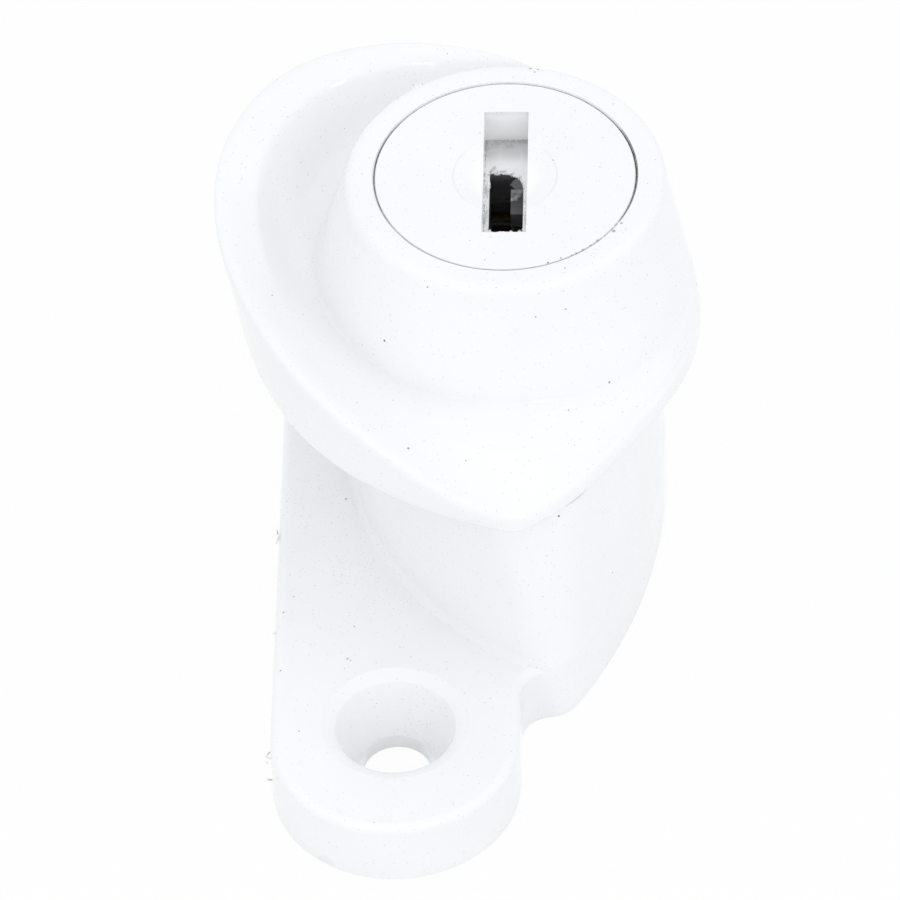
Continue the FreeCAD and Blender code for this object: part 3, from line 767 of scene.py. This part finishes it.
BASE_FLECKS = (
    Fleck(-7.2, -24.9, 3.3, 0.16, 0.5),
    Fleck(-7.2, -26.1, 2.6, 0.14, 0.5),
    Fleck(-7.3, -8.0, 4.2, 0.12, 0.5),
    Fleck(-7.3, -15.8, 4.2, 0.12, 0.6),
    Fleck(-4.0, -30.3, 0.3, 0.6, 0.05),
    Fleck(-2.93, -18.13, 4.4, 0.09, 0.4),
    Fleck(-2.75, -18.27, 4.4, 0.06, 0.4),
    Fleck(-5.61, -23.82, 4.4, 0.05),
    Fleck(-6.26, -13.16, 4.4, 0.06, 0.6),
    Fleck(-3.37, -5.29, 4.4, 0.07, 0.8),
    Fleck(9.75, -16.4, 14.75, 0.08),
    Fleck(12.67, -13.43, 6.63, 0.06, 0.8),
)
BASE_CROWDS = (
    Fleck(-4.6, -6.0, 4.4, 4.6, 0.7),
    Fleck(-2.9, -10.2, 4.4, 4.2, 1.0),
    Fleck(-1.1, -12.7, 4.4, 3.6, 0.9),
    Fleck(0.2, -12.6, 7.5, 4.0, 0.6),
    Fleck(1.64, -20.95, 2.5, 2.0, 1.0),
)
KNOB_CROWDS = (
    Fleck(11.6, -6.6, 26.3, 1.6, 1.0),
    Fleck(13.3, -4.4, 26.3, 1.2, 0.9),
    Fleck(0.0, -4.6, 26.3, 2.4, 0.6),
)
PLUG_CROWDS = (
    Fleck(10.9, -5.9, 26.4, 1.4, 1.0),
    Fleck(9.0, 2.6, 26.4, 1.8, 0.7),
    Fleck(3.4, 4.2, 26.4, 1.8, 0.5),
)
KNOB_FLECKS = (
    Fleck(8.0, 8.92, 26.33, 0.1, 0.6),
    Fleck(8.45, 8.85, 26.33, 0.1, 0.6),
    Fleck(8.25, 8.58, 26.39, 0.08, 0.5),
    Fleck(8.2, 9.12, 26.2, 0.1, 0.6),
    Fleck(-0.4, -8.24, 21.09, 0.08, 0.9),
    Fleck(1.08, -14.9, 18.99, 0.08, 0.8),
    Fleck(2.28, -8.4, 25.7, 0.07, 0.7),
    Fleck(12.7, -9.53, 18.8, 0.07, 0.8),
    Fleck(8.53, -9.63, 24.43, 0.06, 0.6),
    Fleck(16.58, -3.62, 20.77, 0.06, 0.6),
    # The next two are dark marks beside the loose flakes in the gap, partly a chip and partly
    # painted shadow
    Fleck(13.04, -4.63, 26.4, 0.12, 0.6),
    Fleck(13.5, -3.98, 26.4, 0.11, 0.5),
    Fleck(10.26, -7.6, 26.4, 0.06, 0.7),
)
PLUG_FLECKS = (
    Fleck(7.9, 4.0, 26.4, 0.06, 0.6),
    Fleck(9.44, 1.23, 26.4, 0.06, 0.7),
    Fleck(5.12, 3.52, 26.4, 0.05, 0.6),
    Fleck(5.6, -6.9, 26.4, 0.06, 0.5),
    Fleck(9.26, -7.13, 26.37, 0.07, 0.8),
    # The next six are dark marks beside the loose flakes in the gap, partly chips and partly
    # painted shadow
    Fleck(12.12, -5.34, 26.31, 0.1, 0.5),
    Fleck(11.68, -5.75, 26.31, 0.08, 0.45),
    Fleck(11.28, -6.08, 26.32, 0.09, 0.5),
    Fleck(10.88, -6.34, 26.35, 0.08, 0.5),
    Fleck(10.63, -6.5, 26.35, 0.07, 0.45),
    Fleck(10.01, -6.78, 26.39, 0.07, 0.5),
)


@dataclass
class Castings:
    """The painted base and the turning knob."""

    def dress(self, nodes: dict[str, bpy.types.Object]) -> None:
        """Paints both castings.

        Args:
            nodes: The frame's nodes by name.
        """
        base = GlossPaint("white_paint_base", flecks=BASE_FLECKS, crowds=BASE_CROWDS)
        knob = GlossPaint("white_paint_knob", flecks=KNOB_FLECKS, crowds=KNOB_CROWDS)
        paint_over(nodes["base_casting"], base.make())
        paint_over(nodes["knob_casting"], knob.make())
        LOG.info("castings painted")


@dataclass
class Cylinder:
    """The key plug with its wafers, clip, cam and springs, and the ring and washers below."""

    wafer_count: int = 5

    def dress(self, nodes: dict[str, bpy.types.Object]) -> None:
        """Finishes the plug and everything that it carries.

        Args:
            nodes: The frame's nodes by name.
        """
        brass = Metal.BRASS.value.make()
        spring = Metal.SPRING_STEEL.value.make()
        plated = Metal.ZINC_PLATE.value.make()
        plug = PlugFinish("plug_paint_metal_light_and_shade", flecks=PLUG_FLECKS, crowds=PLUG_CROWDS)
        paint_over(nodes["key_plug"], plug.make())
        for index in range(1, self.wafer_count + 1):
            paint_over(nodes["wafer_%d" % index], brass)
            paint_over(nodes["wafer_spring_%d" % index], spring)
        paint_over(nodes["wafer_%d" % self.wafer_count], ShadedMetal().make())
        for name in ("plug_clip", "retaining_ring", "wave_washer"):
            paint_over(nodes[name], spring)
        for name in ("scroll_cam", "flat_washer", "stop_pin"):
            paint_over(nodes[name], plated)
        paint_over(nodes["lock_bolt"], brass)
        LOG.info("cylinder finished")


class EditMode:
    """Edit mode on one object, left again at the end of the block."""

    def __init__(self, piece: bpy.types.Object) -> None:
        """Keeps the object to edit.

        Args:
            piece: The object.
        """
        self.piece = piece

    def __enter__(self) -> bpy.types.Object:
        """Enters edit mode.

        Returns:
            The object.
        """
        bpy.context.view_layer.objects.active = self.piece
        bpy.ops.object.mode_set(mode="EDIT")
        return self.piece

    def __exit__(self, *_: object) -> None:
        """Leaves edit mode."""
        bpy.ops.object.mode_set(mode="OBJECT")


def thicken(depth: float) -> None:
    """Gives the sheet in edit mode a thickness, downwards.

    Args:
        depth: The thickness, in millimetres.
    """
    bpy.ops.mesh.select_all(action="SELECT")
    down = {"value": (0.0, 0.0, -depth * MM)}
    bpy.ops.mesh.extrude_region_move(TRANSFORM_OT_translate=down)
    bpy.ops.mesh.select_all(action="SELECT")
    bpy.ops.mesh.normals_make_consistent(inside=False)


@dataclass
class TornPaint:
    """The skin of dry paint on the ledge in the slot, torn open over the keyway."""

    hole: tuple[tuple[float, float], ...] = (
        (5.66, 2.73), (6.05, 2.35), (6.38, 2.53), (6.84, 2.35), (7.3, 2.16), (7.5, 1.88),
        (7.62, 1.51), (7.75, 0.64), (7.69, 0.23), (7.73, -0.32), (7.71, -1.15), (7.75, -1.6),
        (7.63, -2.06), (7.5, -2.31), (6.59, -2.34), (5.69, -2.27), (5.54, -1.58), (5.49, -0.94),
        (5.6, -0.21), (5.6, 0.7), (5.63, 1.62), (5.57, 2.17),
    )
    half_width: float = 1.29
    low_y: float = -4.64
    high_y: float = 5.24
    rows: int = 140
    columns: int = 36
    thickness: float = 0.06
    ragged: float = 0.11
    ragged_uniform: float = 0.2
    seed: int = 11

    def open_at(self, x: float, y: float) -> bool:
        """Whether a point lies in the torn hole.

        Args:
            x: The point's X, in millimetres.
            y: The point's Y, in millimetres.

        Returns:
            True inside the outline.
        """
        inside = False
        for (x0, y0), (x1, y1) in zip(self.hole, self.hole[1:] + self.hole[:1]):
            if (y0 > y) != (y1 > y) and x < x0 + (x1 - x0) * (y - y0) / (y1 - y0):
                inside = not inside
        return inside

    def build(self) -> None:
        """Makes the skin and lets it ride on the plug."""
        bpy.ops.object.select_all(action="DESELECT")
        bpy.ops.mesh.primitive_grid_add(
            x_subdivisions=self.columns, y_subdivisions=self.rows, size=1.0
        )
        skin = bpy.context.object
        skin.name = "torn_paint"
        size = (2 * self.half_width * MM, (self.high_y - self.low_y) * MM, 1.0)
        middle_y = (self.low_y + self.high_y) / 2 * MM
        top = LEDGE_Z + self.thickness * MM
        with EditMode(skin):
            bpy.ops.mesh.select_all(action="SELECT")
            bpy.ops.transform.resize(value=size, center_override=ORIGIN)
            bpy.ops.transform.translate(value=(AXIS_X, middle_y, top))
            bpy.ops.mesh.select_mode(type="FACE")
            bpy.ops.mesh.select_all(action="DESELECT")
        for face in skin.data.polygons:
            face.select = self.open_at(face.center.x / MM, face.center.y / MM)
        with EditMode(skin):
            bpy.ops.mesh.delete(type="FACE")
            bpy.ops.mesh.select_all(action="SELECT")
            bpy.ops.mesh.region_to_loop()
            bpy.ops.transform.vertex_random(
                offset=self.ragged * MM, uniform=self.ragged_uniform, normal=0.0, seed=self.seed
            )
            bpy.ops.mesh.select_mode(type="VERT")
            thicken(self.thickness)
        skin.data.materials.append(Overspray("slot_overspray").make())
        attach(skin, "key_plug")
        LOG.info("torn paint made")


@dataclass
class GapPaint:
    """Paint that has run into the gap round the plug and leaves it wider at the right; its colour
    is the gap's painted shade.
    """

    inner: float = 7.685
    shift: float = 0.015
    top: float = 26.35
    depth: float = 0.3
    sides: int = 256
    wobble: float = 0.003
    seed: int = 5

    def build(self) -> None:
        """Makes the ring of paint and lets it ride on the knob."""
        bpy.ops.object.select_all(action="DESELECT")
        bpy.ops.mesh.primitive_circle_add(vertices=self.sides, radius=GAP_OUTER, location=ORIGIN)
        ring = bpy.context.object
        ring.name = "gap_paint"
        centre = (AXIS_X, 0.0, self.top * MM)
        share = self.inner * MM / GAP_OUTER
        with EditMode(ring):
            bpy.ops.mesh.select_all(action="SELECT")
            bpy.ops.transform.translate(value=centre)
            bpy.ops.mesh.extrude_edges_move()
            bpy.ops.transform.resize(value=(share, share, 1.0), center_override=centre)
            bpy.ops.transform.translate(value=(self.shift * MM, 0.0, 0.0))
            bpy.ops.transform.vertex_random(
                offset=self.wobble * MM, uniform=0.0, normal=0.0, seed=self.seed
            )
            thicken(self.depth)
        # The ring's colour paints the shade in the gap
        ring.data.materials.append(GapShade().make())
        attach(ring, "knob")
        LOG.info("gap paint made")


@dataclass(frozen=True)
class Bit:
    """One loose bit of paint: its place, its three half sizes, its turn and its seed."""

    x: float
    y: float
    z: float
    size: tuple[float, float, float]
    turn: float
    seed: int


@dataclass
class Debris:
    """Ragged bits of paint that stick to one body."""

    name: str
    body: str
    bits: tuple[Bit, ...]
    finish: LooseBits
    subdivisions: int = 3
    roughness: float = 0.45
    outward: float = 0.6

    def shape(self, bit: Bit) -> bpy.types.Object:
        """Makes one bit.

        Args:
            bit: Its place and size in millimetres, its turn in degrees and its seed.

        Returns:
            The bit's object.
        """
        bpy.ops.object.select_all(action="DESELECT")
        bpy.ops.mesh.primitive_ico_sphere_add(
            subdivisions=self.subdivisions, radius=MM, location=ORIGIN
        )
        lump = bpy.context.object
        turn = math.radians(bit.turn)
        with EditMode(lump):
            bpy.ops.mesh.select_all(action="SELECT")
            bpy.ops.transform.vertex_random(
                offset=self.roughness * MM, uniform=0.0, normal=self.outward, seed=bit.seed
            )
            bpy.ops.transform.resize(value=bit.size, center_override=ORIGIN)
            bpy.ops.transform.rotate(value=turn, orient_axis="Z", center_override=ORIGIN)
            bpy.ops.transform.translate(value=(bit.x * MM, bit.y * MM, bit.z * MM))
        return lump

    def build(self) -> None:
        """Makes all the bits as one piece."""
        lumps = [self.shape(bit) for bit in self.bits]
        for lump in lumps:
            lump.select_set(True)
        bpy.context.view_layer.objects.active = lumps[0]
        bpy.ops.object.join()
        piece = bpy.context.object
        piece.name = self.name
        piece.data.materials.append(self.finish.make())
        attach(piece, self.body)
        LOG.info("%s made", self.name)


GAP_BITS = (
    Bit(13.1, -4.4, 26.28, (0.34, 0.15, 0.07), 55.0, 3),
    Bit(12.45, -5.1, 26.3, (0.12, 0.07, 0.07), 35.0, 4),
    Bit(11.75, -5.9, 26.32, (0.14, 0.05, 0.05), 38.0, 5),
    Bit(11.0, -6.5, 26.32, (0.12, 0.05, 0.05), 30.0, 6),
    Bit(10.1, -7.0, 26.33, (0.1, 0.05, 0.05), 25.0, 7),
    Bit(13.3, -3.9, 26.3, (0.1, 0.06, 0.07), 60.0, 8),
)
SLOT_BITS = (
    Bit(5.86, 2.82, 24.16, (0.2, 0.07, 0.07), -50.0, 31),
    Bit(6.05, 2.52, 24.14, (0.16, 0.07, 0.06), -58.0, 32),
    Bit(6.45, 2.62, 24.13, (0.18, 0.06, 0.06), -15.0, 33),
    Bit(6.95, 2.4, 24.12, (0.14, 0.06, 0.06), -25.0, 34),
    Bit(7.4, 2.12, 24.12, (0.12, 0.06, 0.06), -40.0, 38),
    Bit(5.5, -1.2, 24.14, (0.05, 0.5, 0.07), 6.0, 35),
    Bit(7.84, -1.4, 24.14, (0.05, 0.4, 0.07), -8.0, 36),
    Bit(5.52, 1.0, 24.12, (0.04, 0.5, 0.06), -4.0, 37),
)
EDGE_BITS = (
    Bit(-7.4, -25.0, 3.4, (0.2, 0.04, 0.05), 25.0, 21),
    Bit(-7.42, -24.6, 3.3, (0.16, 0.04, 0.04), 120.0, 22),
    Bit(-7.5, -25.2, 3.2, (0.12, 0.04, 0.05), 70.0, 26),
    Bit(-7.3, -26.2, 2.8, (0.16, 0.05, 0.06), 10.0, 23),
    Bit(-7.36, -8.3, 4.1, (0.05, 0.3, 0.04), 12.0, 24),
    Bit(-7.4, -7.7, 4.1, (0.04, 0.2, 0.04), -10.0, 27),
    Bit(-7.34, -15.8, 4.1, (0.08, 0.07, 0.06), 0.0, 25),
)


@dataclass(frozen=True)
class Lamp:
    """One soft lamp: its name, its place, its width and height in metres, and its watts."""

    name: str
    place: Place
    size: tuple[float, float]
    power: float


LAMPS = (
    Lamp("top_softbox", (0.15, 0.1, 1.0), (0.7, 0.7), 0.25),
    Lamp("left_strip", (-0.42, -0.74, 0.62), (0.12, 0.45), 0.55),
    Lamp("right_strip", (0.42, -0.74, 0.62), (0.12, 0.45), 0.9),
)


@dataclass
class Studio:
    """A pale floor, soft lamps and the camera at the photograph's viewing angle."""

    camera_place: Place = (0.02545, -0.4202, 0.4497)
    pitch: float = 46.71
    yaw: float = -3.10
    roll: float = -2.63
    focal_pixels: float = 10200.0
    frame_pixels: float = 900.0
    sensor: float = 36.0
    clip_start: float = 0.01
    clip_end: float = 20.0
    lamp_tint: Tint = (1.0, 0.955, 0.885)
    lamp_aim: Place = (0.0, 0.0, 0.01)
    floor_half: float = 3.0
    floor_tint: Tint = (0.86, 0.86, 0.86)
    floor_roughness: float = 0.9
    floor_glow: float = 0.94
    sky_tint: Tint = (0.942, 0.952, 0.973)
    sky_strength: float = 1.02

    def camera(self) -> None:
        """Builds the camera from its measured angles."""
        pitch, yaw, roll = (math.radians(angle) for angle in (self.pitch, self.yaw, self.roll))
        level_share = math.cos(pitch)
        ahead = Vector(
            (math.sin(yaw) * level_share, math.cos(yaw) * level_share, -math.sin(pitch))
        )
        level = Vector((math.cos(yaw), -math.sin(yaw), 0.0))
        upright = level.cross(ahead)
        right = level * math.cos(roll) + upright * math.sin(roll)
        up = upright * math.cos(roll) - level * math.sin(roll)
        data = bpy.data.cameras.new("camera")
        data.sensor_width = self.sensor
        data.lens = self.focal_pixels / self.frame_pixels * self.sensor
        data.clip_start = self.clip_start
        data.clip_end = self.clip_end
        eye = bpy.data.objects.new("camera", data)
        bpy.context.scene.collection.objects.link(eye)
        turn = Matrix((right, up, -ahead)).transposed().to_4x4()
        eye.matrix_world = Matrix.Translation(Vector(self.camera_place)) @ turn
        bpy.context.scene.camera = eye

    def hang(self, lamp: Lamp) -> None:
        """Hangs one lamp so that it faces the lock.

        Args:
            lamp: Its name, place, size and power.
        """
        data = bpy.data.lights.new(lamp.name, "AREA")
        data.shape = "RECTANGLE"
        data.size, data.size_y = lamp.size
        data.energy = lamp.power
        data.color = self.lamp_tint
        light = bpy.data.objects.new(lamp.name, data)
        bpy.context.scene.collection.objects.link(light)
        light.location = lamp.place
        aim = Vector(self.lamp_aim) - Vector(lamp.place)
        light.rotation_euler = aim.to_track_quat("-Z", "Y").to_euler()

    def floor(self) -> None:
        """A wide pale floor under the lock, seen as white."""
        bpy.ops.object.select_all(action="DESELECT")
        bpy.ops.mesh.primitive_plane_add(size=self.floor_half * 2, location=ORIGIN)
        ground = bpy.context.object
        ground.name = "floor"
        sketch = NodeSketch("floor_white")
        sketch.surface(colour(self.floor_tint), self.floor_roughness)
        glow = sketch.tree.nodes.new("ShaderNodeEmission")
        glow.inputs["Color"].default_value = colour(WHITE)
        path = sketch.tree.nodes.new("ShaderNodeLightPath")
        seen = sketch.math(
            "MAXIMUM", path.outputs["Is Camera Ray"], path.outputs["Is Glossy Ray"]
        )
        seen = sketch.math("MAXIMUM", seen, path.outputs["Is Transmission Ray"])
        mixer = sketch.tree.nodes.new("ShaderNodeMixShader")
        sketch.link(sketch.math("MULTIPLY", seen, self.floor_glow), mixer.inputs[0])
        sketch.link(sketch.shader.outputs[0], mixer.inputs[1])
        sketch.link(glow.outputs[0], mixer.inputs[2])
        output = sketch.tree.nodes["Material Output"]
        sketch.link(mixer.outputs[0], output.inputs["Surface"])
        ground.data.materials.append(sketch.material)

    def sky(self) -> None:
        """Pale light from all round, seen as white."""
        world = bpy.data.worlds.new("studio_white")
        bpy.context.scene.world = world
        world.use_nodes = True
        tree = world.node_tree
        light = tree.nodes["Background"]
        light.inputs["Color"].default_value = colour(self.sky_tint)
        light.inputs["Strength"].default_value = self.sky_strength
        white = tree.nodes.new("ShaderNodeBackground")
        white.inputs["Color"].default_value = colour(WHITE)
        white.inputs["Strength"].default_value = 1.0
        path = tree.nodes.new("ShaderNodeLightPath")
        seen = tree.nodes.new("ShaderNodeMath")
        seen.operation = "MAXIMUM"
        tree.links.new(path.outputs["Is Camera Ray"], seen.inputs[0])
        tree.links.new(path.outputs["Is Transmission Ray"], seen.inputs[1])
        mixer = tree.nodes.new("ShaderNodeMixShader")
        tree.links.new(seen.outputs[0], mixer.inputs[0])
        tree.links.new(light.outputs[0], mixer.inputs[1])
        tree.links.new(white.outputs[0], mixer.inputs[2])
        tree.links.new(mixer.outputs[0], tree.nodes["World Output"].inputs["Surface"])

    def build(self) -> None:
        """Sets up the floor, the light and the camera."""
        self.floor()
        self.sky()
        for lamp in LAMPS:
            self.hang(lamp)
        self.camera()
        bpy.context.scene.view_settings.view_transform = "Standard"
        LOG.info("studio built")


def main() -> None:
    """Builds the scene in order: frame, castings, cylinder, loose paint and studio."""
    logging.basicConfig(level=logging.INFO, format="%(name)s: %(message)s")
    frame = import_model()
    bpy.ops.object.select_all(action="DESELECT")
    nodes = frame["nodes"]
    Castings().dress(nodes)
    Cylinder().dress(nodes)
    TornPaint().build()
    GapPaint().build()
    gap_paint = LooseBits("gap_bit_paint")
    Debris("gap_bits", "knob", GAP_BITS, gap_paint).build()
    slot_paint = LooseBits("slot_bit_paint", dusty=(0.72, 0.72, 0.73))
    Debris("slot_bits", "key_plug", SLOT_BITS, slot_paint).build()
    edge_paint = LooseBits("edge_bit_paint", dusty=(0.6, 0.59, 0.58))
    Debris("edge_bits", "base", EDGE_BITS, edge_paint).build()
    Studio().build()


if __name__ == "__main__":
    main()
